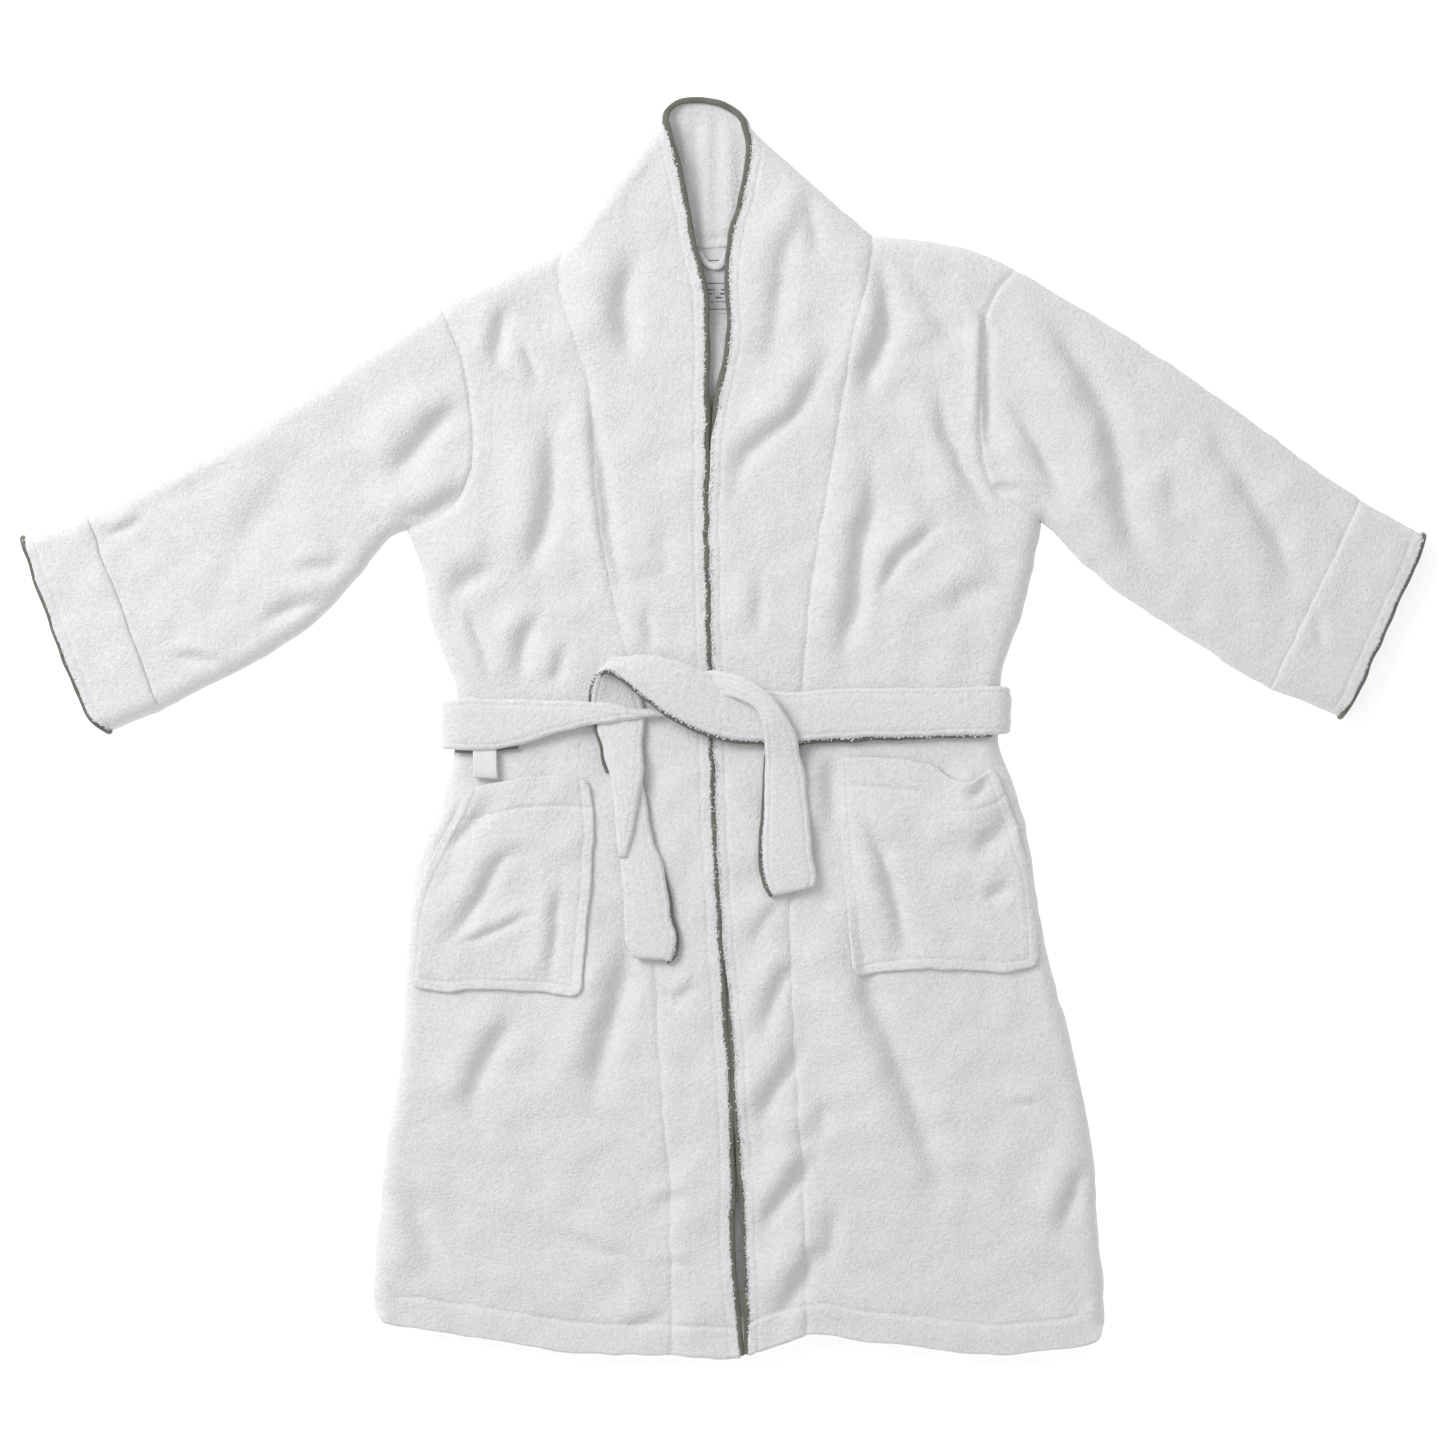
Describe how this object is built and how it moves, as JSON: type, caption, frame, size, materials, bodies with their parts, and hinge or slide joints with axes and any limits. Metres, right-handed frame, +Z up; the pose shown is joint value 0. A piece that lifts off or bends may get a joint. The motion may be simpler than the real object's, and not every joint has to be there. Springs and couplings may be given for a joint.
{
  "type": "bathrobe",
  "caption": "White terry bathrobe laid flat, with a shawl collar, patch pockets, contrast piping, a tied belt, turned cuffs and a hanging loop.",
  "frame": {"origin": "under the middle of the robe's box, on the surface it lies on", "axes": "+X across the robe towards the wearer's left, +Y from hem to collar, +Z up through the front, away from the surface"},
  "size_m": [1.405, 1.261, 0.0554],
  "materials": {
    "terry": "white cotton terry with a soft, brushed pile",
    "piping": "sage green woven cotton piping",
    "tape": "white cotton tape",
    "label": "white woven satin label"
  },
  "bodies": {
    "robe": {"back_panel": "terry", "right_front_panel": "terry", "left_front_panel": "terry", "right_lapel": "terry", "left_lapel": "terry", "right_lapel_piping": "piping", "left_lapel_piping": "piping", "right_front_band": "terry", "left_front_band": "terry", "right_pocket": "terry", "left_pocket": "terry", "right_belt_loop": "tape", "left_belt_loop": "tape", "belt": "terry", "belt_piping": "piping", "belt_knot": "terry", "care_label": "label", "right_sleeve_head": "terry", "left_sleeve_head": "terry"},
    "right_sleeve_lower": {"right_sleeve": "terry", "right_cuff": "terry", "right_cuff_piping": "piping"},
    "left_sleeve_lower": {"left_sleeve": "terry", "left_cuff": "terry", "left_cuff_piping": "piping"},
    "collar": {"right_collar": "terry", "left_collar": "terry", "collar_piping": "piping"},
    "right_skirt_flap": {"right_skirt_band": "terry", "right_skirt_corner": "terry", "right_skirt_piping": "piping"},
    "left_skirt_flap": {"left_skirt_band": "terry", "left_skirt_corner": "terry", "left_skirt_piping": "piping"},
    "right_belt_tail": {"right_belt_end": "terry", "right_belt_end_piping": "piping"},
    "left_belt_tail": {"left_belt_end": "terry", "left_belt_end_piping": "piping"},
    "neck_loop": {"hanging_loop": "tape"}
  },
  "joints": [
    {"name": "right_sleeve_swing", "type": "hinge", "parent": "robe", "child": "right_sleeve_lower", "pos_m": [-0.3, 0.3, 0.015], "axis": [0, 0, -1], "range_deg": [-25, 20], "deforming": ["right_sleeve_head"]},
    {"name": "left_sleeve_swing", "type": "hinge", "parent": "robe", "child": "left_sleeve_lower", "pos_m": [0.3, 0.31, 0.015], "axis": [0, 0, 1], "range_deg": [-25, 20], "deforming": ["left_sleeve_head"]},
    {"name": "collar_fold", "type": "hinge", "parent": "robe", "child": "collar", "pos_m": [0, 0.482, 0.034], "axis": [1, 0, 0], "range_deg": [0, 150]},
    {"name": "right_skirt_fold", "type": "hinge", "parent": "robe", "child": "right_skirt_flap", "pos_m": [-0.02, -0.03, 0.0336], "axis": [-0.083, -0.9966, 0], "range_deg": [0, 120]},
    {"name": "left_skirt_fold", "type": "hinge", "parent": "robe", "child": "left_skirt_flap", "pos_m": [0.012, -0.03, 0.0336], "axis": [-0.153, 0.9882, 0], "range_deg": [0, 120]},
    {"name": "right_belt_end_lift", "type": "hinge", "parent": "robe", "child": "right_belt_tail", "pos_m": [-0.09, -0.02, 0.042], "axis": [-1, 0, 0], "range_deg": [0, 130]},
    {"name": "left_belt_end_lift", "type": "hinge", "parent": "robe", "child": "left_belt_tail", "pos_m": [0.065, -0.02, 0.042], "axis": [-1, 0, 0], "range_deg": [0, 130]},
    {"name": "hanging_loop_lift", "type": "hinge", "parent": "robe", "child": "neck_loop", "pos_m": [-0.009, 0.478, 0.01], "axis": [-1, 0, 0], "range_deg": [0, 25]}
  ]
}
